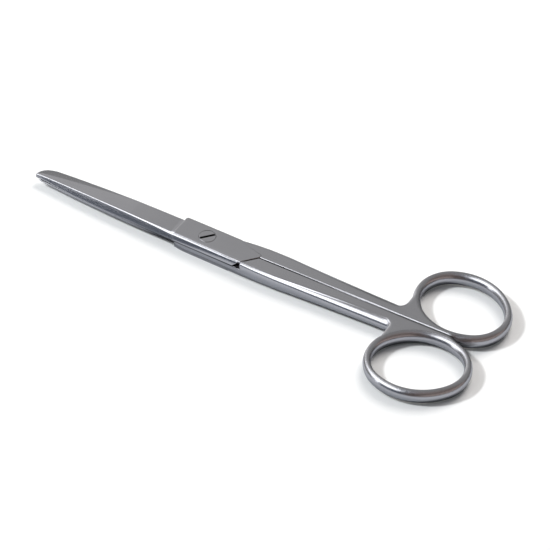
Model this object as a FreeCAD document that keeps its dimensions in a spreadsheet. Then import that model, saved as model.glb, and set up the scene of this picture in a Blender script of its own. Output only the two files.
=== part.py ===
import FreeCAD, Part
import os
import re
import Sketcher

# Straight surgical scissors, closed: two steel forgings that cross at a screw.
# +X runs from the tips to the finger rings, +Z is up, the pivot axis is the Z axis and the
# scissors lie on the plane z = 0. Each half is drawn in its own frame, with the inner face of
# its blade at the parting plane and its back upwards. The lower half is then turned over about X.

doc = FreeCAD.newDocument("surgical_scissors")

# The driving dimensions, in millimetres.
sheet = doc.addObject("Spreadsheet::Sheet", "Sizes")
SIZES = [
    # Blade, measured from the pivot: the tip end and the heel at the joint.
    ("tip_reach", 57.1),
    ("heel_reach", 9.0),
    ("tip_thick", 0.8),
    ("heel_thick", 2.45),
    ("tip_round", 0.25),
    ("heel_round", 1.2),
    ("round_power", 5),
    ("tip_spine", 1.2),
    ("heel_spine", 4.2),
    ("spine_belly", 2.5),
    ("tip_lean", 0.35),
    ("heel_lean", 0.45),
    ("lean_belly", 2.7),
    ("facet_width", 3.1),
    ("facet_share", 0.65),
    ("facet_slope", 0.18),
    ("facet_least", 0.05),
    ("flat_least", 0.15),
    ("edge_bevel", 0.3),
    ("grind_radius", 20.0),
    ("grind_depth", 0.12),
    # Cutting edge of the blunt blade and of the pointed one.
    ("blunt_tip_edge", 3.15),
    ("blunt_heel_edge", 2.55),
    ("blunt_belly", 1.05),
    ("nose_length", 5.5),
    ("nose_height", 3.9),
    ("nose_base", 0.7),
    ("nose_centre", 2.0),
    ("nose_trim", 0.05),
    ("toe_spine", 1.3),
    ("toe_round", 0.55),
    ("point_tip_edge", 1.25),
    ("point_heel_edge", 2.45),
    ("point_belly", 2.1),
    ("point_start", 38.0),
    ("point_bend", 34.9),
    ("point_spine", 3.3),
    # Joint: two half-thickness plates.
    ("joint_thick", 5.2),
    ("face_gap", 0.08),
    ("plate_near", 4.2),
    ("plate_near_end", 4.65),
    ("plate_round", 1.2),
    ("plate_round_end", 0.7),
    ("plate_lean", 0.45),
    ("plate_lean_end", 0.15),
    ("notch_gap", 0.3),
    ("notch_foot", 12.6),
    ("notch_head", 16.75),
    ("undercut_foot", 10.4),
    ("undercut_height", 2.3),
    ("undercut_depth", 1.7),
    # Far front corner of the plate: a short round step on one half, a long ramp on the other.
    ("blunt_step_radius", 0.7),
    ("blunt_step_length", 0.7),
    ("blunt_plate_far", 3.84),
    ("blunt_shank_far", 3.5),
    ("point_step_radius", 17.6),
    ("point_step_length", 4.5),
    ("point_plate_far", 4.0),
    ("point_shank_far", 4.35),
    # Shank. Its half widths lie outside the inner side.
    ("shank_start", 9.0),
    ("shank_full", 24.0),
    ("shank_end", 62.0),
    ("full_half_width", 4.85),
    ("end_half_width", 4.2),
    ("early_slim", 0.6),
    ("start_top_round", 0.3),
    ("start_under_round", 0.9),
    ("full_round", 1.15),
    ("end_round", 2.1),
    ("inner_round", 0.3),
    ("inner_relief", 0.17),
    ("inner_touch", 0.03),
    ("relief_share", 0.42),
    # Finger ring and its web.
    ("ring_thick", 4.4),
    ("ring_along", 73.07),
    ("ring_across", 12.4),
    ("ring_long", 13.47),
    ("ring_short", 11.1),
    ("ring_turn", 16.0),
    ("ring_end_centre", 3.87),
    ("bar_width", 2.25),
    ("bar_end_centre", 1.45),
    ("web_front", 60.1),
    ("web_back", 76.0),
    ("web_slant", 4.0),
    ("web_slant_rise", 2.1),
    ("web_fillet", 2.4),
    ("web_side", 3.2),
    ("web_start", 50.0),
    ("web_round", 0.5),
    # Pivot screw.
    ("screw_radius", 1.5),
    ("head_radius", 2.35),
    ("head_land", 0.5),
    ("head_cone", 0.85),
    ("running_gap", 0.03),
    ("slot_length", 4.3),
    ("slot_width", 0.55),
    ("slot_depth", 0.75),
    ("slot_turn", 48.0),
]
for row, (alias, value) in enumerate(SIZES, start=1):
    sheet.set("A%d" % row, alias)
    sheet.set("B%d" % row, str(value))
    sheet.setAlias("B%d" % row, alias)
doc.recompute()
NAMES = re.compile(r"\b(" + "|".join(alias for alias, _ in SIZES) + r")\b")


def bound(expression):
    """The expression with every size's name pointing at its cell."""
    return NAMES.sub(r"Sizes.\1", expression)


def value(expression):
    """The expression's value in millimetres or degrees."""
    result = sheet.evalExpression(bound(expression))
    return float(getattr(result, "Value", result))


# Two lengths closer than this are the same.
TOUCH = 0.001


def add_body(label):
    body = doc.addObject("PartDesign::Body", label)
    body.Label = label
    return body


def plane_of(body, role):
    for feature in body.Origin.OriginFeatures:
        if feature.Role == role:
            return feature
    raise RuntimeError("no plane " + role)


def add_sketch(body, name, role, away="0", turn="0"):
    """A sketch on an origin plane of the body, moved off it by the expression away."""
    sketch = body.newObject("Sketcher::SketchObject", name)
    sketch.AttachmentSupport = [(plane_of(body, role), "")]
    sketch.MapMode = "FlatFace"
    sketch.setExpression(".AttachmentOffset.Base.z", bound(away))
    if turn != "0":
        sketch.AttachmentOffset = FreeCAD.Placement(
            FreeCAD.Vector(0, 0, 0), FreeCAD.Rotation(FreeCAD.Vector(0, 0, 1), value(turn)))
        sketch.setExpression(".AttachmentOffset.Rotation.Angle", bound(turn))
    return sketch


def bind(sketch, kind, geometry, point, expression):
    """Bind one coordinate of a sketch point to the sheet."""
    number = value(expression)
    if abs(number) < 1e-9:
        axis = -2 if kind == "DistanceX" else -1
        sketch.addConstraint(Sketcher.Constraint("PointOnObject", geometry, point, axis))
        return
    index = sketch.addConstraint(
        Sketcher.Constraint(kind, -1, 1, geometry, point, number))
    sketch.setExpression("Constraints[%d]" % index, bound(expression))


def draw(sketch, corners):
    """Close an outline through corners (x, y) with straight sides.

    A corner (x, y, cx, cy, turn) is reached by an arc about (cx, cy) instead, counterclockwise
    when turn is 1 and clockwise when it is -1. All are expressions of the sheet.
    """
    places = [FreeCAD.Vector(value(c[0]), value(c[1]), 0) for c in corners]
    count = len(corners)
    first = sketch.GeometryCount
    starts, ends = [], []
    for k in range(count):
        here, there = places[k], places[(k + 1) % count]
        target = corners[(k + 1) % count]
        if len(target) == 2:
            sketch.addGeometry(Part.LineSegment(here, there))
            starts.append(1)
            ends.append(2)
            continue
        centre = FreeCAD.Vector(value(target[2]), value(target[3]), 0)
        radius = (here - centre).Length
        circle = Part.Circle(centre, FreeCAD.Vector(0, 0, 1), radius)
        low, high = (here, there) if target[4] == 1 else (there, here)
        sketch.addGeometry(Part.ArcOfCircle(circle, circle.parameter(low), circle.parameter(high)))
        starts.append(1 if target[4] == 1 else 2)
        ends.append(2 if target[4] == 1 else 1)
    for k in range(count):
        after = (k + 1) % count
        sketch.addConstraint(
            Sketcher.Constraint("Coincident", first + k, ends[k], first + after, starts[after]))
    for k in range(count):
        corner = corners[k]
        bind(sketch, "DistanceX", first + k, starts[k], corner[0])
        bind(sketch, "DistanceY", first + k, starts[k], corner[1])
        if len(corner) == 2:
            continue
        chord = places[k] - places[k - 1]
        across = 0 if abs(chord.y) > abs(chord.x) else 1
        kind = ("DistanceX", "DistanceY")[across]
        bind(sketch, kind, first + (k - 1) % count, 3, corner[2 + across])


def loft(body, name, sketches, kind="AdditiveLoft"):
    """A ruled loft from sketch to sketch."""
    feature = body.newObject("PartDesign::" + kind, name)
    feature.Profile = sketches[0]
    feature.Sections = sketches[1:]
    feature.Ruled = True
    return feature


def pad(body, name, sketch, length, both=False):
    feature = body.newObject("PartDesign::Pad", name)
    feature.Profile = sketch
    feature.setExpression("Length", bound(length))
    feature.Midplane = both
    return feature


def pocket(body, name, sketch, length, both=False, reverse=False):
    feature = body.newObject("PartDesign::Pocket", name)
    feature.Profile = sketch
    feature.setExpression("Length", bound(length))
    feature.Midplane = both
    feature.Reversed = reverse
    return feature


# Blade. Along it, u goes from 0 at the tip to 1 at the heel. Its thickness grows with u to the
# power 0.6. Its edge, its spine and the lean of its near side run straight from tip to heel,
# with a belly of u (1 - u) on top.
STATIONS = [0.0, 0.04, 0.1, 0.18, 0.28, 0.4, 0.52, 0.65, 0.82, 1.0]
THICK_POWER = "0.6"


def grow(tip, heel, u, power):
    return "(%s + (%s - %s) * pow(%s; %s))" % (tip, heel, tip, u, power)


def swell(tip, heel, belly, u):
    return "(%s + (%s - %s) * %s + %s * %s * (1 - %s))" % (tip, heel, tip, u, belly, u, u)


def blade_section(body, name, kind, u):
    """The blade's section at u: flat inside, leaning spine with a round top edge, flat back,
    a shallow ground facet and the bevel down to the cutting edge."""
    share = "%g" % u
    sketch = add_sketch(body, name, "YZ_Plane",
                        "-tip_reach + (tip_reach - heel_reach) * %s" % share)
    top = grow("tip_thick", "heel_thick", share, THICK_POWER)
    spine = swell("tip_spine", "heel_spine", "spine_belly", share)
    lean = swell("tip_lean", "heel_lean", "lean_belly", share)
    shoulder = "%s - %s" % (spine, lean)
    bend = grow("tip_round", "heel_round", share, "round_power")
    edge = swell(kind + "_tip_edge", kind + "_heel_edge", kind + "_belly", share)
    flat = "%s + %s - %s" % (edge, shoulder, bend)
    facet = "min(%s - flat_least; facet_least + facet_width * max(0; 1 - %s / facet_share))" % (
        flat, share)
    base = "face_gap / 2"
    draw(sketch, [
        ("-1 * (%s)" % spine, base),
        ("%s + edge_bevel" % edge, base),
        (edge, "%s - facet_slope * %s" % (top, facet)),
        ("%s - %s" % (edge, facet), top),
        ("-1 * (%s) + %s" % (shoulder, bend), top),
        ("-1 * (%s)" % shoulder, "%s - %s" % (top, bend),
         "-1 * (%s) + %s" % (shoulder, bend), "%s - %s" % (top, bend), 1),
    ])
    return sketch


def add_blade(body, kind):
    sections = [blade_section(body, "%sBladeSection%d" % (kind, k), kind, u)
                for k, u in enumerate(STATIONS)]
    return loft(body, kind + "Blade", sections)


def plate_edge(body, name, place, near, lean, rounding):
    """What the plate's leaning near side and round back edge leave outside it."""
    sketch = add_sketch(body, name, "YZ_Plane", place)
    low = "joint_thick / 2 - %s" % rounding
    crest = "%s + %s - %s" % (lean, rounding, near)
    draw(sketch, [
        ("-%s - 1" % near, "face_gap / 2"),
        ("-%s" % near, "face_gap / 2"),
        ("%s - %s" % (lean, near), low),
        (crest, "joint_thick / 2", crest, low, -1),
        (crest, "joint_thick"),
        ("-%s - 1" % near, "joint_thick"),
    ])
    return sketch


def add_plate(body, kind):
    """The half-thickness joint plate. Its near back edge is rounded, and its end is undercut
    where the other half's shank begins."""
    front = "-heel_reach"
    radius = kind + "_step_radius"
    length = kind + "_step_length"
    far = kind + "_plate_far"
    sketch = add_sketch(body, kind + "PlateOutline", "XY_Plane", "face_gap / 2")
    draw(sketch, [
        (front, "-plate_near"),
        ("notch_foot", "-plate_near_end"),
        ("notch_head", "0"),
        ("notch_head", "1"),
        ("shank_start + 2", "2.5"),
        ("shank_start", kind + "_shank_far"),
        ("%s + %s" % (front, length), far),
        (front, "%s - %s + sqrt(pow(%s; 2) - pow(%s; 2))" % (far, radius, radius, length),
         "%s + %s" % (front, length), "%s - %s" % (far, radius), 1),
    ])
    pad(body, kind + "Plate", sketch, "joint_thick / 2 - face_gap / 2")
    doc.recompute()
    loft(body, kind + "PlateEdgeCut", [
        plate_edge(body, kind + "PlateEdgeFront", front, "plate_near", "plate_lean",
                   "plate_round"),
        plate_edge(body, kind + "PlateEdgeBack", "notch_head", "plate_near_end",
                   "plate_lean_end", "plate_round_end"),
    ], "SubtractiveLoft")
    doc.recompute()
    wedge = add_sketch(body, kind + "Undercut", "XZ_Plane", "plate_near_end + 1")
    draw(wedge, [
        ("undercut_foot", "-1"),
        ("2 * notch_foot", "-1"),
        ("2 * notch_foot", "undercut_height"),
        ("notch_foot", "undercut_height"),
        ("undercut_foot", "0"),
    ])
    pocket(body, kind + "UndercutCut", wedge, "undercut_depth + 1")
    doc.recompute()


# Shank. The first shares run from its start to where it is widest, the second from there to
# its end.
RISE = [0.0, 0.3, 0.6]
RUN = [0.0, 0.2, 0.42, 0.7, 1.0]


def shank_section(body, kind, number, rise, run):
    """The shank's section: flat inside, its outer side ever rounder towards the ring."""
    rise, run = "%g" % rise, "%g" % run
    place = ("shank_start + (shank_full - shank_start) * %s + (shank_end - shank_full) * %s"
             % (rise, run))
    widen = "(1 - pow(1 - %s; 2))" % rise
    settle = "(%s * (1 + early_slim - early_slim * %s))" % (run, run)
    outside = ("(%s_shank_far + (full_half_width - %s_shank_far) * %s "
               "- (full_half_width - end_half_width) * %s)" % (kind, kind, widen, settle))
    over = ("(start_top_round + (full_round - start_top_round) * %s "
            "+ (end_round - full_round) * %s)" % (rise, settle))
    under = ("(start_under_round + (full_round - start_under_round) * %s "
             "+ (end_round - full_round) * %s)" % (rise, settle))
    half = ("(joint_thick / 2 + (ring_thick - joint_thick) / 2 "
            "* (%s - shank_start) / (shank_end - shank_start))" % place)
    inside = "(inner_touch + (inner_relief - inner_touch) * max(0; 1 - %s / relief_share))" % run
    sketch = add_sketch(body, "%sShankSection%d" % (kind, number), "YZ_Plane", place)
    draw(sketch, [
        (inside, "-%s + inner_round" % half),
        ("%s + inner_round" % inside, "-%s" % half,
         "%s + inner_round" % inside, "-%s + inner_round" % half, 1),
        ("%s - %s" % (outside, under), "-%s" % half),
        (outside, "-%s + %s" % (half, under),
         "%s - %s" % (outside, under), "-%s + %s" % (half, under), 1),
        (outside, "%s - %s" % (half, over)),
        ("%s - %s" % (outside, over), half,
         "%s - %s" % (outside, over), "%s - %s" % (half, over), 1),
        ("%s + inner_round" % inside, half),
        (inside, "%s - inner_round" % half,
         "%s + inner_round" % inside, "%s - inner_round" % half, 1),
    ])
    return sketch


def add_shank(body, kind):
    places = [(rise, 0.0) for rise in RISE] + [(1.0, run) for run in RUN]
    return loft(body, kind + "Shank", [
        shank_section(body, kind, number, rise, run)
        for number, (rise, run) in enumerate(places)])


def oval(long_half, short_half, end_centre):
    """An oval of four tangent arcs. Its end arcs are centred at end_centre on the long axis.
    Gives the distance of the long arcs' centres and the place where two arcs meet."""
    less = "(%s - %s)" % (long_half, short_half)
    side = "(%s * (2 * %s - %s) / (2 * (%s - %s)))" % (less, end_centre, less, end_centre, less)
    span = "sqrt(pow(%s; 2) + pow(%s; 2))" % (end_centre, side)
    along = "(%s + (%s - %s) * %s / %s)" % (end_centre, long_half, end_centre, end_centre, span)
    across = "((%s - %s) * %s / %s)" % (long_half, end_centre, side, span)
    return side, along, across


def minus(expression):
    return "-1 * " + expression


def ring_corners():
    """The middle line of the ring's bar, counterclockwise."""
    side, along, across = oval("ring_long", "ring_short", "ring_end_centre")
    return [
        (minus(along), across, "0", minus(side), 1),
        (minus(along), minus(across), minus("ring_end_centre"), "0", 1),
        (along, minus(across), "0", side, 1),
        (along, across, "ring_end_centre", "0", 1),
    ]


# The ring's bar has a flat crest, then this many narrow flats down to each domed side.
CREST_STEPS = 2


def bar_corners(away):
    """The upright oval section of the ring's bar, away from the centre of the ring's arc."""
    side, along, across = oval("ring_thick / 2", "bar_width / 2", "bar_end_centre")
    left, right = "%s - %s" % (away, across), "%s + %s" % (away, across)
    bend = "(ring_thick / 2 - bar_end_centre)"
    tops = []
    for step in range(CREST_STEPS):
        turn = "(atan(%s / bar_end_centre) * %d / %d)" % (side, 2 * step + 1, 2 * CREST_STEPS + 1)
        tops.append(("%s * sin(%s)" % (bend, turn), "(bar_end_centre + %s * cos(%s))" % (bend, turn)))
    return (
        [(right, minus(along)), (right, along, "%s - %s" % (away, side), "0", 1)]
        + [("%s + %s" % (away, out), up) for out, up in reversed(tops)]
        + [("%s - %s" % (away, out), up) for out, up in tops]
        + [(left, along), (left, minus(along), "%s + %s" % (away, side), "0", 1)]
        + [("%s - %s" % (away, out), minus(up)) for out, up in reversed(tops)]
        + [("%s + %s" % (away, out), minus(up)) for out, up in tops]
    )


def place_on_ring(sketch):
    """Move a sketch on the XY plane to the ring's middle and along its long axis."""
    sketch.AttachmentOffset = FreeCAD.Placement(
        FreeCAD.Vector(value("ring_along"), value("ring_across"), 0),
        FreeCAD.Rotation(FreeCAD.Vector(0, 0, 1), value("-ring_turn")))
    sketch.setExpression(".AttachmentOffset.Base.x", bound("ring_along"))
    sketch.setExpression(".AttachmentOffset.Base.y", bound("ring_across"))
    sketch.setExpression(".AttachmentOffset.Rotation.Angle", bound("-ring_turn"))


def add_web(body, kind):
    """The flat web that joins the shank to its ring, with a round rim round its open corner."""
    outline = add_sketch(body, kind + "WebOutline", "XY_Plane")
    draw(outline, [
        ("web_start", "inner_touch"),
        ("web_back", "inner_touch"),
        ("web_back + web_slant", "web_slant_rise"),
        ("web_back + web_slant", "ring_across"),
        ("web_front", "ring_across"),
        ("web_front", "web_side + web_fillet"),
        ("web_front - web_fillet", "web_side",
         "web_front - web_fillet", "web_side + web_fillet", -1),
        ("web_start", "web_side"),
    ])
    web = pad(body, kind + "Web", outline, "ring_thick", both=True)
    doc.recompute()
    faces = value("ring_thick / 2")
    lowest = value("web_side") - TOUCH
    furthest = value("web_front") + TOUCH
    rim = ["Edge%d" % number for number, edge in enumerate(web.Shape.Edges, start=1)
           if all(abs(abs(vertex.Z) - faces) < TOUCH and vertex.Y > lowest and vertex.X < furthest
                  for vertex in edge.Vertexes)]
    rounded = body.newObject("PartDesign::Fillet", kind + "WebRim")
    rounded.Base = (web, rim)
    rounded.setExpression("Radius", bound("web_round"))
    doc.recompute()


def add_ring(body, kind):
    """The finger ring: the web is cut back to the middle line of the ring's bar, and the oval
    bar is turned about the centres of the ring's four arcs."""
    middle = add_sketch(body, kind + "RingMiddle", "XY_Plane")
    place_on_ring(middle)
    draw(middle, ring_corners())
    pocket(body, kind + "RingOpening", middle, "2 * joint_thick", both=True)
    doc.recompute()
    side = oval("ring_long", "ring_short", "ring_end_centre")[0]
    end = ("ring_end_centre", "ring_long - ring_end_centre", "2 * atan(%s / ring_end_centre)" % side)
    flank = ("-1 * " + side, "ring_short + " + side, "2 * atan(ring_end_centre / %s)" % side)
    arcs = [("Back", 0, end), ("Outer", 90, flank), ("Front", 180, end), ("Inner", 270, flank)]
    for name, quarter, (reach, radius, opening) in arcs:
        heading = "(%d - ring_turn)" % quarter
        along = "ring_along + %s * cos(%s)" % (reach, heading)
        across = "ring_across + %s * sin(%s)" % (reach, heading)
        sketch = add_sketch(body, kind + "Bar" + name, "XZ_Plane")
        sketch.AttachmentOffset = FreeCAD.Placement(
            FreeCAD.Vector(value(along), 0, -value(across)),
            FreeCAD.Rotation(FreeCAD.Vector(0, 1, 0), value(heading)))
        sketch.setExpression(".AttachmentOffset.Base.x", bound(along))
        sketch.setExpression(".AttachmentOffset.Base.z", bound("-1 * (%s)" % across))
        sketch.setExpression(".AttachmentOffset.Rotation.Angle", bound(heading))
        draw(sketch, bar_corners("(%s)" % radius))
        turned = body.newObject("PartDesign::Revolution", kind + "Ring" + name)
        turned.Profile = sketch
        turned.ReferenceAxis = (sketch, ["V_Axis"])
        turned.setExpression("Angle", bound(opening))
        turned.Midplane = True
    doc.recompute()


def cut_joint(body, kind, screw_hole):
    """Clear the other half's plate and shank, flatten the inner side and bore the screw hole."""
    under = add_sketch(body, kind + "OtherPlate", "XY_Plane", "face_gap / 2")
    draw(under, [
        ("-2 * heel_reach", "-2 * plate_near_end"),
        ("notch_head + 1.5 * notch_gap", "-2 * plate_near_end"),
        ("notch_head + 1.5 * notch_gap", "0"),
        ("notch_head + 1.5 * notch_gap - 2 * (notch_head - notch_foot)", "2 * plate_near_end"),
        ("-2 * heel_reach", "2 * plate_near_end"),
    ])
    pocket(body, kind + "OtherPlateCut", under, "joint_thick")
    doc.recompute()
    side = add_sketch(body, kind + "InnerSide", "XY_Plane")
    draw(side, [
        ("shank_full", "inner_touch - 20"),
        ("2 * web_front", "inner_touch - 20"),
        ("2 * web_front", "inner_touch"),
        ("shank_full", "inner_touch"),
    ])
    pocket(body, kind + "InnerSideCut", side, "4 * joint_thick", both=True)
    doc.recompute()
    hole = add_sketch(body, kind + "HoleSection", "XZ_Plane")
    draw(hole, screw_hole)
    groove = body.newObject("PartDesign::Groove", kind + "ScrewHole")
    groove.Profile = hole
    groove.ReferenceAxis = (hole, ["V_Axis"])
    groove.Angle = 360
    doc.recompute()


HEAD_HOLE = [
    ("0", "-1"),
    ("screw_radius + running_gap", "-1"),
    ("screw_radius + running_gap", "joint_thick / 2 - head_land - head_cone"),
    ("head_radius + running_gap", "joint_thick / 2 - head_land"),
    ("head_radius + running_gap", "joint_thick / 2 + 1"),
    ("0", "joint_thick / 2 + 1"),
]
THREAD_HOLE = [
    ("0", "-1"),
    ("screw_radius", "-1"),
    ("screw_radius", "joint_thick / 2 + 1"),
    ("0", "joint_thick / 2 + 1"),
]


def round_nose(body):
    """Trim the blunt blade's tip to a quarter of an oval whose crest is at its edge, and
    round its corner at the spine."""
    sketch = add_sketch(body, "bluntNose", "XY_Plane")
    side, along, across = oval("nose_length", "nose_height", "nose_centre")
    start = "(nose_length + nose_trim - tip_reach)"
    far = "2 * nose_height"
    draw(sketch, [
        (start, far),
        ("-tip_reach - 2", far),
        ("-tip_reach - 2", "-2 * nose_height"),
        ("nose_trim + toe_round - tip_reach", "-2 * nose_height"),
        ("nose_trim + toe_round - tip_reach", "-toe_spine"),
        ("nose_trim - tip_reach", "toe_round - toe_spine",
         "nose_trim + toe_round - tip_reach", "toe_round - toe_spine", -1),
        ("nose_trim - tip_reach", "-nose_base"),
        ("%s - %s" % (start, along), "%s - nose_base" % across,
         "%s - nose_centre" % start, "-nose_base", -1),
        (start, "nose_height - nose_base", start, "-nose_base - %s" % side, -1),
    ])
    pocket(body, "bluntNoseCut", sketch, "4 * joint_thick", both=True)
    doc.recompute()


def grind_hollow(body, kind):
    """The shallow hollow along the blade's inner face."""
    half = "sqrt(pow(grind_radius; 2) - pow(grind_radius - grind_depth - face_gap / 2; 2))"
    sketch = add_sketch(body, kind + "HollowSection", "YZ_Plane", "-heel_reach - 0.5")
    draw(sketch, [
        (half, "0"),
        (minus(half), "0", "0", "grind_depth + face_gap / 2 - grind_radius", 1),
    ])
    pocket(body, kind + "Hollow", sketch, "tip_reach - heel_reach - 2")
    doc.recompute()


def sharpen_point(body):
    """Trim the pointed blade's spine with one long arc that meets the edge at the tip."""
    sketch = add_sketch(body, "pointSweep", "XY_Plane")
    draw(sketch, [
        ("-point_start", "-2 * point_spine"),
        ("-point_start", "-point_spine"),
        ("-tip_reach - 2",
         "point_bend - point_spine - sqrt(pow(point_bend; 2) - pow(tip_reach + 2 - point_start; 2))",
         "-point_start", "point_bend - point_spine", -1),
        ("-tip_reach - 2", "-2 * point_spine"),
    ])
    pocket(body, "pointSweepCut", sketch, "4 * joint_thick", both=True)
    doc.recompute()


def half_body(kind, label, trim_tip, screw_hole):
    body = add_body(label)
    add_blade(body, kind)
    doc.recompute()
    trim_tip(body)
    add_plate(body, kind)
    add_web(body, kind)
    add_shank(body, kind)
    add_ring(body, kind)
    cut_joint(body, kind, screw_hole)
    grind_hollow(body, kind)
    return body


upper = half_body("blunt", "upper_half", round_nose, HEAD_HOLE)
lower = half_body("point", "lower_half", sharpen_point, THREAD_HOLE)
upper.Placement = FreeCAD.Placement(
    FreeCAD.Vector(0, 0, value("joint_thick / 2")), FreeCAD.Rotation())
lower.Placement = FreeCAD.Placement(
    FreeCAD.Vector(0, 0, value("joint_thick / 2")),
    FreeCAD.Rotation(FreeCAD.Vector(1, 0, 0), 180))

screw = add_body("pivot_screw")
turned = add_sketch(screw, "ScrewSection", "XZ_Plane")
draw(turned, [
    ("0", "0"),
    ("screw_radius", "0"),
    ("screw_radius", "joint_thick - head_land - head_cone"),
    ("head_radius", "joint_thick - head_land"),
    ("head_radius", "joint_thick"),
    ("0", "joint_thick"),
])
spin = screw.newObject("PartDesign::Revolution", "ScrewTurned")
spin.Profile = turned
spin.ReferenceAxis = (turned, ["V_Axis"])
spin.Angle = 360
doc.recompute()
slot = add_sketch(screw, "ScrewSlot", "XY_Plane", "joint_thick", "slot_turn")
draw(slot, [
    ("-slot_length / 2", "-slot_width / 2"),
    ("slot_length / 2", "-slot_width / 2"),
    ("slot_length / 2", "slot_width / 2"),
    ("-slot_length / 2", "slot_width / 2"),
])
pocket(screw, "ScrewSlotCut", slot, "slot_depth")

doc.recompute()
for obj in doc.Objects:
    if "Invalid" in obj.State or "Error" in obj.State:
        raise RuntimeError("%s failed: %s" % (obj.Name, obj.State))
os.makedirs("parts", exist_ok=True)
for body in (upper, lower, screw):
    shape = body.Shape
    if shape.isNull() or not shape.isValid() or len(shape.Solids) != 1:
        raise RuntimeError("%s has no valid single solid" % body.Label)
    print(body.Label, round(shape.Volume, 1), "mm3", len(shape.Faces), "faces")
    shape.exportStep("parts/%s.step" % body.Label)
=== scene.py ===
import math

import bpy
from mathutils import Matrix, Vector

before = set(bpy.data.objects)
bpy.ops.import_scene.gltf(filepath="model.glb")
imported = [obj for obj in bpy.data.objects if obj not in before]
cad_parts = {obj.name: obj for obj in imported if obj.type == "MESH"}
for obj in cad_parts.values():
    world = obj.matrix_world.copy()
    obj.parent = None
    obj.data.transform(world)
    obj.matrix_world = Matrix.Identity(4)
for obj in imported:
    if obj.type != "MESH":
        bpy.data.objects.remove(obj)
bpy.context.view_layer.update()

bl_info = {
    "name": "Surgical scissors",
    "version": (1, 0, 0),
    "blender": (4, 5, 0),
    "location": "View3D > Sidebar > Scissors",
    "description": "Gives straight surgical scissors their ground steel finish "
                   "on a plain studio table",
    "category": "Object",
}

MM = 0.001

# The blades: where their tip and heel are, and how thick they are there
TIP, HEEL = -57.0 * MM, -9.0 * MM
BLADE_THICK = (0.9 * MM, 2.5 * MM)

# The plane in which the two halves meet, and how far from it the flat tops begin
MID_PLANE = 2.6 * MM
FLATS = (2.15 * MM, 2.35 * MM)

# The sides' crown, which is bump only: its strength at the tip and from the joint on, the height
# of its line on each blade, and where that line leaves this height and reaches the middle plane
CROWN = (0.15, 0.30)
UPPER_RIDGE, LOWER_RIDGE = 3.5 * MM, 0.2 * MM
RIDGE_BEND = (-24.0 * MM, -10.0 * MM)

# The faint shoulder across the front of the joint: where it starts and ends, and its height
SHOULDER = (-10.0 * MM, -8.6 * MM)
SHOULDER_HEIGHT = 0.10 * MM

# The finish: scratches to the metre along and across, grains and clouds to the metre, the
# scratches' depth, how much the roughness swings, and where the edges grow softer
SCRATCHES = (60.0, 2600.0, 2600.0)
GRAINS, CLOUDS = 900.0, 70.0
SCRATCH_DEPTH = 0.02 * MM
ROUGHNESS_SWING = 0.04
SOFTER_FROM, SOFTER_TO = 14.0 * MM, 64.0 * MM

# Samples of the hollows and of the edges, and how open a place is where the painted shade starts
# and ends
SAMPLES = 8
OPENNESS = (0.28, 0.62)

# Painted shade: at the rim of the screw's head, along the seam between the halves but not on faces
# that lie flat, and in the slot
HEAD_RADIUS = 2.35 * MM
HEAD_RIM = (0.06 * MM, 0.16 * MM)
HEAD_RIM_TONE = 0.35
SEAM = (0.16 * MM, 0.34 * MM)
SEAM_FADES = (-14.0 * MM, -30.0 * MM)
SEAM_ENDS = (12.3 * MM, 12.8 * MM)
LYING = (0.5, 0.8)
SLOT_TURN = math.radians(48.0)
SLOT_SIDES = (0.30 * MM, 0.46 * MM)
SLOT_ENDS = (2.10 * MM, 2.25 * MM)

# Greys of the room from the table's height to overhead
BACK_WALL = [(0.0, 0.18), (0.25, 0.22), (0.45, 0.28), (0.58, 0.45), (0.70, 0.46), (0.9, 0.40),
             (1.0, 0.32)]
FRONT_WALL = [(0.0, 0.16), (0.3, 0.12), (0.6, 0.10), (0.85, 0.20), (1.0, 0.32)]
RIGHT_WALL = [(0.0, 0.13), (0.10, 0.16), (0.26, 0.42), (0.42, 0.34), (0.58, 0.14), (0.85, 0.20),
              (1.0, 0.32)]

# Tints of the room: its front on the left and on the right, the cloth, the window, and the light
# that the table gets from the front and from behind
COOL, WARM = (0.84, 0.97, 1.20), (1.18, 0.97, 0.90)
CLOTH_TINT, WINDOW_TINT = (0.98, 1.0, 1.03), (1.0, 0.99, 0.98)
DOME_TINTS = ((0.93, 0.98, 1.02), (1.02, 0.99, 0.97))

# Where the parts of the room lie, as directions: X is right, Y is behind and Z is up. A pair says
# where a part begins and where it is whole, and a slant says what it changes from and to
STRAIGHT_BACK = (-0.527, 0.850, 0.0)
BEHIND = (-0.25, 0.25)
BACK_SLANT = (-0.50, -0.26, 1.30, 0.75)
RIGHT_WALL_FROM = (0.35, 0.60)
WARM_FROM = (-0.15, 0.20)
CLOTH_RIGHT, CLOTH_LEFT = (-0.02, -0.30), (-0.82, -0.68)
CLOTH_EDGE = (1.3, 1.0, 0.0)
CLOTH_EDGE_FROM = (-0.38, -0.68)
HEM_SLANT = (-0.72, -0.62, -0.05, 0.52)
HEM_FROM = (0.0, 0.12)
WINDOW_RIGHT, WINDOW_FRONT = (-0.62, -0.76), (0.30, 0.45)

# The table, the two lamps with their place and size, and the camera's frame
TABLE_HALF = 4.0
TABLE_ROUGHNESS = 0.9
KEY_PLACE, KEY_SIZE = (-0.60, -0.40, 0.88), 0.14
SKY_PLACE, SKY_SIZE = (0.08, 0.52, 0.62), 0.6
FRAME_WIDTH = 36.0
CLIP = (0.01, 20.0)


# Node trees

class Nodes:
    """A short way to write a node tree: add a node, set its inputs, link its outputs."""

    def __init__(self, tree):
        self.tree = tree
        tree.nodes.clear()

    def add(self, kind, inputs=None, **settings):
        node = self.tree.nodes.new(kind)
        for name, value in settings.items():
            setattr(node, name, value)
        for name, value in (inputs or {}).items():
            if isinstance(value, bpy.types.NodeSocket):
                self.tree.links.new(value, node.inputs[name])
            else:
                node.inputs[name].default_value = value
        return node


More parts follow.
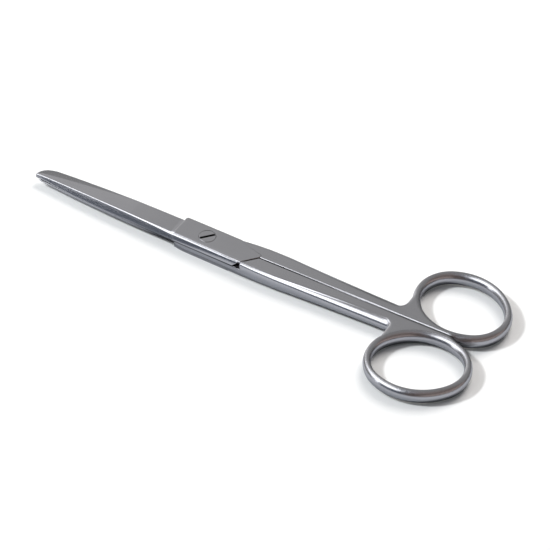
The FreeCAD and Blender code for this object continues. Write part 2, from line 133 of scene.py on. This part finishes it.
def maths(nodes, operation, first, second=0.0):
    return nodes.add("ShaderNodeMath", {0: first, 1: second}, operation=operation).outputs["Value"]


def product(nodes, first, *others):
    for other in others:
        first = maths(nodes, "MULTIPLY", first, other)
    return first


def dot(nodes, vector, direction):
    return nodes.add("ShaderNodeVectorMath", {
        0: vector, 1: direction}, operation="DOT_PRODUCT").outputs["Value"]


def split(nodes, vector):
    """The X, Y and Z of a vector."""
    parts = nodes.add("ShaderNodeSeparateXYZ", {"Vector": vector})
    return [parts.outputs[axis] for axis in "XYZ"]


def linear(nodes, value, start, end, first, last):
    """A straight change from first at start to last at end, held beyond both."""
    return nodes.add("ShaderNodeMapRange", {
        "Value": value, "From Min": start, "From Max": end,
        "To Min": first, "To Max": last}).outputs["Result"]


def step(nodes, value, low, high):
    """A soft step: 0 below low, 1 above high, or the other way round where low is the larger."""
    lower, upper = min(low, high), max(low, high)
    ends = {"To Min": 0.0, "To Max": 1.0} if low < high else {"To Min": 1.0, "To Max": 0.0}
    return nodes.add("ShaderNodeMapRange", {
        "Value": value, "From Min": lower, "From Max": upper, **ends},
        interpolation_type="SMOOTHSTEP").outputs["Result"]


def away(nodes, value, near, far):
    """0 where the value lies within `near` of zero, 1 from `far` on, on either side."""
    return step(nodes, maths(nodes, "ABSOLUTE", value), near, far)


def ramp(nodes, factor, stops):
    """A colour ramp through (position, grey) stops."""
    node = nodes.add("ShaderNodeValToRGB", {"Fac": factor})
    elements = node.color_ramp.elements
    while len(elements) < len(stops):
        elements.new(0.5)
    for element, (place, grey) in zip(elements, stops):
        element.position = place
        element.color = (grey, grey, grey, 1.0)
    return node.outputs["Color"]


def blend(nodes, factor, first, second, mode="MIX"):
    """Mix two colours."""
    return nodes.add("ShaderNodeMix", {
        "Factor": factor, "A": first, "B": second}, data_type="RGBA", blend_type=mode,
        clamp_result=False).outputs["Result"]


def shade(tint, brightness=1.0):
    """A colour socket's value: a tint at some brightness."""
    return (*[brightness * part for part in tint], 1.0)


# Materials

def crown(nodes, place, normal, ridge):
    """The crown of the ground sides, which is in the look only and not in the solids: a height
    that falls with the square of the distance from the crown's line, divided by the thickness, so
    a side turns upwards above that line and downwards below it. It reaches about 0.8 mm at the
    joint and turns the normal there by about 30 degrees. The line runs from the height `ridge` on
    the blade to the middle plane at the joint. A low step across the flats marks the joint's front
    shoulder."""
    x, _, z = split(nodes, place.outputs["Object"])
    thick = linear(nodes, x, TIP, HEEL, *BLADE_THICK)
    slope = linear(nodes, x, TIP, 0.0, -CROWN[0], -CROWN[1])
    line = linear(nodes, x, *RIDGE_BEND, ridge, MID_PLANE)
    rise = maths(nodes, "SUBTRACT", z, line)
    square = maths(nodes, "MULTIPLY", rise, rise)
    height = product(nodes, maths(nodes, "DIVIDE", square, thick), slope)
    flats = away(nodes, maths(nodes, "SUBTRACT", z, MID_PLANE), *FLATS)
    shoulder = product(nodes, step(nodes, x, *SHOULDER), flats, SHOULDER_HEIGHT)
    return nodes.add("ShaderNodeBump", {
        "Height": maths(nodes, "ADD", height, shoulder), "Strength": 1.0, "Distance": 1.0,
        "Normal": normal}).outputs["Normal"]


def painted_seam_shade(nodes, place):
    """How much painted shade a half gets: dark round the screw's head, and on the side walls where
    the two halves meet at the joint, fading out towards the tip. The dark stands in for the shade
    in these gaps."""
    x, _, z = split(nodes, place.outputs["Object"])
    flat = nodes.add("ShaderNodeVectorMath", {
        0: place.outputs["Object"], 1: (1.0, 1.0, 0.0)}, operation="MULTIPLY")
    from_pin = nodes.add("ShaderNodeVectorMath", {0: flat.outputs["Vector"]}, operation="LENGTH")
    rim = away(nodes, maths(nodes, "SUBTRACT", from_pin.outputs["Value"], HEAD_RADIUS), *HEAD_RIM)
    rim = maths(nodes, "MAXIMUM", rim, HEAD_RIM_TONE)
    seam = away(nodes, maths(nodes, "SUBTRACT", z, MID_PLANE), *SEAM)
    lying = away(nodes, split(nodes, place.outputs["Normal"])[2], *LYING)
    for unshaded in (step(nodes, x, *SEAM_FADES), step(nodes, x, *SEAM_ENDS), lying):
        seam = maths(nodes, "MAXIMUM", seam, unshaded)
    return product(nodes, rim, seam)


def painted_slot_shade(nodes, place):
    """How much painted shade the screw gets: dark where a point lies near the line of the slot,
    standing in for the shade in the slot.
    """
    turn = (math.cos(SLOT_TURN), math.sin(SLOT_TURN))
    across = dot(nodes, place.outputs["Object"], (-turn[1], turn[0], 0.0))
    along = dot(nodes, place.outputs["Object"], (*turn, 0.0))
    return maths(nodes, "MAXIMUM", away(nodes, across, *SLOT_SIDES), away(nodes, along, *SLOT_ENDS))


def ground_steel(name, look, painted_shade_mask, ridge=MID_PLANE):
    """Satin steel, ground lengthwise: long fine scratches along X, faint clouds of tone, painted
    shade in the gaps and hollows, and a soft highlight."""
    material = bpy.data.materials.new(name)
    material.use_nodes = True
    nodes = Nodes(material.node_tree)
    place = nodes.add("ShaderNodeTexCoord")

    stretch = nodes.add("ShaderNodeMapping", {
        "Vector": place.outputs["Object"], "Scale": SCRATCHES})
    scratches = nodes.add("ShaderNodeTexNoise", {
        "Vector": stretch.outputs["Vector"], "Scale": 1.0, "Detail": 4.0, "Roughness": 0.6})
    grains = nodes.add("ShaderNodeTexNoise", {
        "Vector": place.outputs["Object"], "Scale": GRAINS, "Detail": 3.0, "Roughness": 0.6})
    clouds = nodes.add("ShaderNodeTexNoise", {
        "Vector": place.outputs["Object"], "Scale": CLOUDS, "Detail": 2.0, "Roughness": 0.5})

    tone = blend(nodes, clouds.outputs["Fac"], shade(look.steel_dark), shade(look.steel_light))
    # Painted shade: where ambient occlusion finds the steel closed in (slots, gaps, the seam, near
    # the table) and where the seam or slot mask says so, the colour is blended to the dark shade
    # colour
    hollow = nodes.add("ShaderNodeAmbientOcclusion", {
        "Distance": look.painted_shade_reach}, samples=SAMPLES)
    unshaded = product(nodes, step(nodes, hollow.outputs["AO"], *OPENNESS), painted_shade_mask(nodes, place))
    tone = blend(nodes, unshaded, shade(look.painted_shade), tone)
    rough = linear(nodes, scratches.outputs["Fac"], 0.3, 0.7,
                   look.roughness - ROUGHNESS_SWING, look.roughness + ROUGHNESS_SWING)

    along = split(nodes, place.outputs["Object"])[0]
    reach = linear(nodes, along, SOFTER_FROM, SOFTER_TO, look.edge_round, look.ring_round)
    edge = nodes.add("ShaderNodeBevel", {"Radius": reach}, samples=SAMPLES)
    height = maths(nodes, "ADD", scratches.outputs["Fac"], grains.outputs["Fac"])
    bump = nodes.add("ShaderNodeBump", {
        "Height": height, "Strength": look.scratch_strength, "Distance": SCRATCH_DEPTH,
        "Normal": crown(nodes, place, edge.outputs["Normal"], ridge)})

    surface = nodes.add("ShaderNodeBsdfPrincipled", {
        "Base Color": tone, "Metallic": 1.0, "Roughness": rough,
        "Normal": bump.outputs["Normal"]})
    nodes.add("ShaderNodeOutputMaterial", {"Surface": surface.outputs["BSDF"]})
    return material


def room(nodes, look):
    """The room that the steel mirrors: a grey back wall that brightens upwards and to the left, a
    dim front with a lighter right wall, one large white cloth hung high on the left, and a window
    on the left behind. The table is lit by an even dome instead, and the camera sees white."""
    toward = nodes.add("ShaderNodeTexCoord").outputs["Generated"]
    x, y, z = split(nodes, toward)

    # The walls
    behind = step(nodes, dot(nodes, toward, STRAIGHT_BACK), *BEHIND)
    back = nodes.add("ShaderNodeVectorMath", {
        0: ramp(nodes, z, BACK_WALL), "Scale": linear(nodes, x, *BACK_SLANT)}, operation="SCALE")
    front = blend(nodes, step(nodes, x, *RIGHT_WALL_FROM), ramp(nodes, z, FRONT_WALL),
                  ramp(nodes, z, RIGHT_WALL))
    tint = blend(nodes, step(nodes, x, *WARM_FROM), shade(COOL), shade(WARM))
    front = blend(nodes, 1.0, front, tint, "MULTIPLY")
    lit = blend(nodes, behind, front, back.outputs["Vector"])

    # The cloth, whose lower hem drops on the far left
    above = maths(nodes, "SUBTRACT", z, linear(nodes, x, *HEM_SLANT))
    cloth = product(
        nodes, step(nodes, x, *CLOTH_RIGHT),
        step(nodes, dot(nodes, toward, CLOTH_EDGE), *CLOTH_EDGE_FROM),
        step(nodes, above, *HEM_FROM), step(nodes, x, *CLOTH_LEFT))
    lit = blend(nodes, cloth, lit, shade(CLOTH_TINT, look.cloth))

    # The window
    window = product(nodes, step(nodes, x, *WINDOW_RIGHT), step(nodes, y, *WINDOW_FRONT))
    lit = blend(nodes, window, lit, shade(WINDOW_TINT, look.window))

    # What the table and the camera see
    ray = nodes.add("ShaderNodeLightPath")
    dome = blend(nodes, behind, *[shade(tint, look.dome) for tint in DOME_TINTS])
    lit = blend(nodes, ray.outputs["Is Diffuse Ray"], lit, dome)
    lit = blend(nodes, ray.outputs["Is Camera Ray"], lit, shade((1.0, 1.0, 1.0)))
    sky = nodes.add("ShaderNodeBackground", {"Color": lit, "Strength": 1.0})
    nodes.add("ShaderNodeOutputWorld", {"Surface": sky.outputs["Background"]})


def dress(node, material):
    """Put one material on every slot of a CAD node."""
    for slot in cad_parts[node].material_slots:
        slot.material = material


# What a user may change

class SteelLook(bpy.types.PropertyGroup):
    steel_dark: bpy.props.FloatVectorProperty(
        name="Steel, dark clouds", description="Colour of the steel where its tone is darkest",
        subtype="COLOR", size=3, default=(0.503, 0.501, 0.524), min=0.0, max=1.0)
    steel_light: bpy.props.FloatVectorProperty(
        name="Steel, light clouds", description="Colour of the steel where its tone is lightest",
        subtype="COLOR", size=3, default=(0.553, 0.551, 0.574), min=0.0, max=1.0)
    roughness: bpy.props.FloatProperty(
        name="Roughness", description="Mean roughness of the ground faces",
        subtype="FACTOR", default=0.22, min=0.0, max=1.0)
    scratch_strength: bpy.props.FloatProperty(
        name="Scratches", description="Strength of the grinding scratches",
        subtype="FACTOR", default=0.1, min=0.0, max=1.0)
    # Painted shade: the near-black colour put where shade falls in slots and gaps
    painted_shade: bpy.props.FloatVectorProperty(
        name="Grime", description="Colour of the steel deep in slots and gaps",
        subtype="COLOR", size=3, default=(0.015, 0.015, 0.018), min=0.0, max=1.0)
    # How far the painted shade reaches from a wall, as the ambient occlusion distance
    painted_shade_reach: bpy.props.FloatProperty(
        name="Grime reach", description="How far a wall darkens what lies beside it",
        subtype="DISTANCE", unit="LENGTH", default=0.0012, min=0.0)
    edge_round: bpy.props.FloatProperty(
        name="Edge softness", description="Radius over which edges catch the light",
        subtype="DISTANCE", unit="LENGTH", default=0.00025, min=0.0)
    ring_round: bpy.props.FloatProperty(
        name="Ring softness",
        description="Radius over which the finger rings' edges catch the light",
        subtype="DISTANCE", unit="LENGTH", default=0.0012, min=0.0)


class StudioLook(bpy.types.PropertyGroup):
    azimuth: bpy.props.FloatProperty(
        name="Azimuth", description="Where the camera stands round the scissors, in degrees",
        default=31.80)
    elevation: bpy.props.FloatProperty(
        name="Elevation", description="Height of the camera above the table, in degrees",
        default=43.30)
    roll: bpy.props.FloatProperty(
        name="Roll", description="Turn of the camera about its line of sight, in degrees",
        default=-0.94)
    distance: bpy.props.FloatProperty(
        name="Distance", description="From the camera to the place that it looks at",
        subtype="DISTANCE", unit="LENGTH", default=0.75308)
    target: bpy.props.FloatVectorProperty(
        name="Target", description="The place that the camera looks at",
        subtype="TRANSLATION", unit="LENGTH", size=3, default=(0.021208, 0.000787, 0.0))
    lens: bpy.props.FloatProperty(
        name="Lens", description="Focal length on a 36 mm wide frame, in millimetres",
        default=179.73)
    floor_colour: bpy.props.FloatVectorProperty(
        name="Table", description="Colour of the table",
        subtype="COLOR", size=3, default=(0.9, 0.9, 0.9), min=0.0, max=1.0)
    floor_mirrored: bpy.props.FloatVectorProperty(
        name="Table in the steel", description="Colour of the table as the steel mirrors it",
        subtype="COLOR", size=3, default=(0.54, 0.555, 0.585), min=0.0, max=1.0)
    dome: bpy.props.FloatProperty(
        name="Room light", description="Brightness of the room as the table sees it", default=0.20)
    window: bpy.props.FloatProperty(
        name="Window", description="Brightness of the window on the left, behind", default=1.1)
    key_power: bpy.props.FloatProperty(
        name="Key light", description="Power of the light on the left, in watts", default=8.0)
    key_colour: bpy.props.FloatVectorProperty(
        name="Key colour", description="Colour of the light on the left",
        subtype="COLOR", size=3, default=(0.96, 0.99, 1.0), min=0.0, max=1.0)
    sky_power: bpy.props.FloatProperty(
        name="Overhead light", description="Power of the light overhead, in watts", default=4.7)
    sky_colour: bpy.props.FloatVectorProperty(
        name="Overhead colour", description="Colour of the light overhead",
        subtype="COLOR", size=3, default=(1.0, 0.97, 0.94), min=0.0, max=1.0)
    cloth: bpy.props.FloatProperty(
        name="White cloth", description="Brightness of the white cloth that the steel mirrors",
        default=3.0)


# One step for each piece, the stage and the camera

class SCISSORS_OT_upper_half(bpy.types.Operator):
    """Give the upper half its ground steel finish"""
    bl_idname = "scissors.upper_half"
    bl_label = "Upper half"

    def execute(self, context):
        look = context.scene.steel_look
        steel = ground_steel("Ground steel, upper half", look, painted_seam_shade, UPPER_RIDGE)
        dress("upper_half", steel)
        return {"FINISHED"}


class SCISSORS_OT_lower_half(bpy.types.Operator):
    """Give the lower half its ground steel finish"""
    bl_idname = "scissors.lower_half"
    bl_label = "Lower half"

    def execute(self, context):
        look = context.scene.steel_look
        steel = ground_steel("Ground steel, lower half", look, painted_seam_shade, LOWER_RIDGE)
        dress("lower_half", steel)
        return {"FINISHED"}


class SCISSORS_OT_pivot_screw(bpy.types.Operator):
    """Give the pivot screw its finish"""
    bl_idname = "scissors.pivot_screw"
    bl_label = "Pivot screw"

    def execute(self, context):
        steel = ground_steel("Ground steel, screw", context.scene.steel_look, painted_slot_shade)
        dress("pivot_screw", steel)
        return {"FINISHED"}


class SCISSORS_OT_stage(bpy.types.Operator):
    """Lay the white table and hang the soft lights"""
    bl_idname = "scissors.stage"
    bl_label = "Table and light"

    def execute(self, context):
        look = context.scene.studio_look
        mesh = bpy.data.meshes.new("table")
        corners = [(x * TABLE_HALF, y * TABLE_HALF, 0)
                   for x, y in ((-1, -1), (1, -1), (1, 1), (-1, 1))]
        mesh.from_pydata(corners, [], [(0, 1, 2, 3)])
        table = bpy.data.objects.new("table", mesh)
        context.scene.collection.objects.link(table)
        paper = bpy.data.materials.new("White table")
        paper.use_nodes = True
        nodes = Nodes(paper.node_tree)
        ray = nodes.add("ShaderNodeLightPath")
        colour = blend(nodes, ray.outputs["Is Glossy Ray"], shade(look.floor_colour),
                       shade(look.floor_mirrored))
        surface = nodes.add("ShaderNodeBsdfPrincipled", {
            "Base Color": colour, "Roughness": TABLE_ROUGHNESS, "Specular IOR Level": 0.0})
        nodes.add("ShaderNodeOutputMaterial", {"Surface": surface.outputs["BSDF"]})
        mesh.materials.append(paper)

        for name, place, size, power, tint in (
                ("key", KEY_PLACE, KEY_SIZE, look.key_power, look.key_colour),
                ("sky", SKY_PLACE, SKY_SIZE, look.sky_power, look.sky_colour)):
            lamp = bpy.data.lights.new(name, "AREA")
            lamp.shape = "DISK"
            lamp.size = size
            lamp.energy = power
            lamp.color = tint
            light = bpy.data.objects.new(name, lamp)
            light.location = place
            light.rotation_mode = "QUATERNION"
            light.rotation_quaternion = Vector(place).to_track_quat("Z", "Y")
            light.visible_glossy = False
            context.scene.collection.objects.link(light)

        world = bpy.data.worlds.new("Room")
        world.use_nodes = True
        context.scene.world = world
        room(Nodes(world.node_tree), look)
        context.scene.view_settings.view_transform = "Standard"
        return {"FINISHED"}


class SCISSORS_OT_camera(bpy.types.Operator):
    """Set the camera at the photograph's angle"""
    bl_idname = "scissors.camera"
    bl_label = "Camera"

    def execute(self, context):
        look = context.scene.studio_look
        around, above = math.radians(look.azimuth), math.radians(look.elevation)
        back = Vector((math.sin(around) * math.cos(above),
                       -math.cos(around) * math.cos(above), math.sin(above)))
        right = (-back).cross(Vector((0, 0, 1))).normalized()
        up = right.cross(-back)
        roll = math.radians(look.roll)
        right, up = (math.cos(roll) * right + math.sin(roll) * up,
                     math.cos(roll) * up - math.sin(roll) * right)
        lens = bpy.data.cameras.new("camera")
        lens.sensor_width = FRAME_WIDTH
        lens.lens = look.lens
        lens.clip_start, lens.clip_end = CLIP
        camera = bpy.data.objects.new("camera", lens)
        turn = Matrix((right, up, back)).transposed()
        camera.matrix_world = Matrix.Translation(
            Vector(look.target) + back * look.distance) @ turn.to_4x4()
        context.scene.collection.objects.link(camera)
        context.scene.camera = camera
        return {"FINISHED"}


class SCISSORS_PT_steps(bpy.types.Panel):
    """The steps that dress and light the scissors"""
    bl_idname = "SCISSORS_PT_steps"
    bl_label = "Surgical scissors"
    bl_space_type = "VIEW_3D"
    bl_region_type = "UI"
    bl_category = "Scissors"

    def draw(self, context):
        for operator in STEPS:
            self.layout.operator(operator.bl_idname)
        for look in (context.scene.steel_look, context.scene.studio_look):
            for name in look.bl_rna.properties.keys():
                if name not in {"rna_type", "name"}:
                    self.layout.prop(look, name)


STEPS = (
    SCISSORS_OT_upper_half,
    SCISSORS_OT_lower_half,
    SCISSORS_OT_pivot_screw,
    SCISSORS_OT_stage,
    SCISSORS_OT_camera,
)
CLASSES = (SteelLook, StudioLook, *STEPS, SCISSORS_PT_steps)


def register():
    for cls in CLASSES:
        bpy.utils.register_class(cls)
    bpy.types.Scene.steel_look = bpy.props.PointerProperty(type=SteelLook)
    bpy.types.Scene.studio_look = bpy.props.PointerProperty(type=StudioLook)


def unregister():
    del bpy.types.Scene.studio_look
    del bpy.types.Scene.steel_look
    for cls in reversed(CLASSES):
        bpy.utils.unregister_class(cls)


def main():
    register()
    for operator in STEPS:
        group, name = operator.bl_idname.split(".")
        getattr(getattr(bpy.ops, group), name)()


if __name__ == "__main__":
    main()
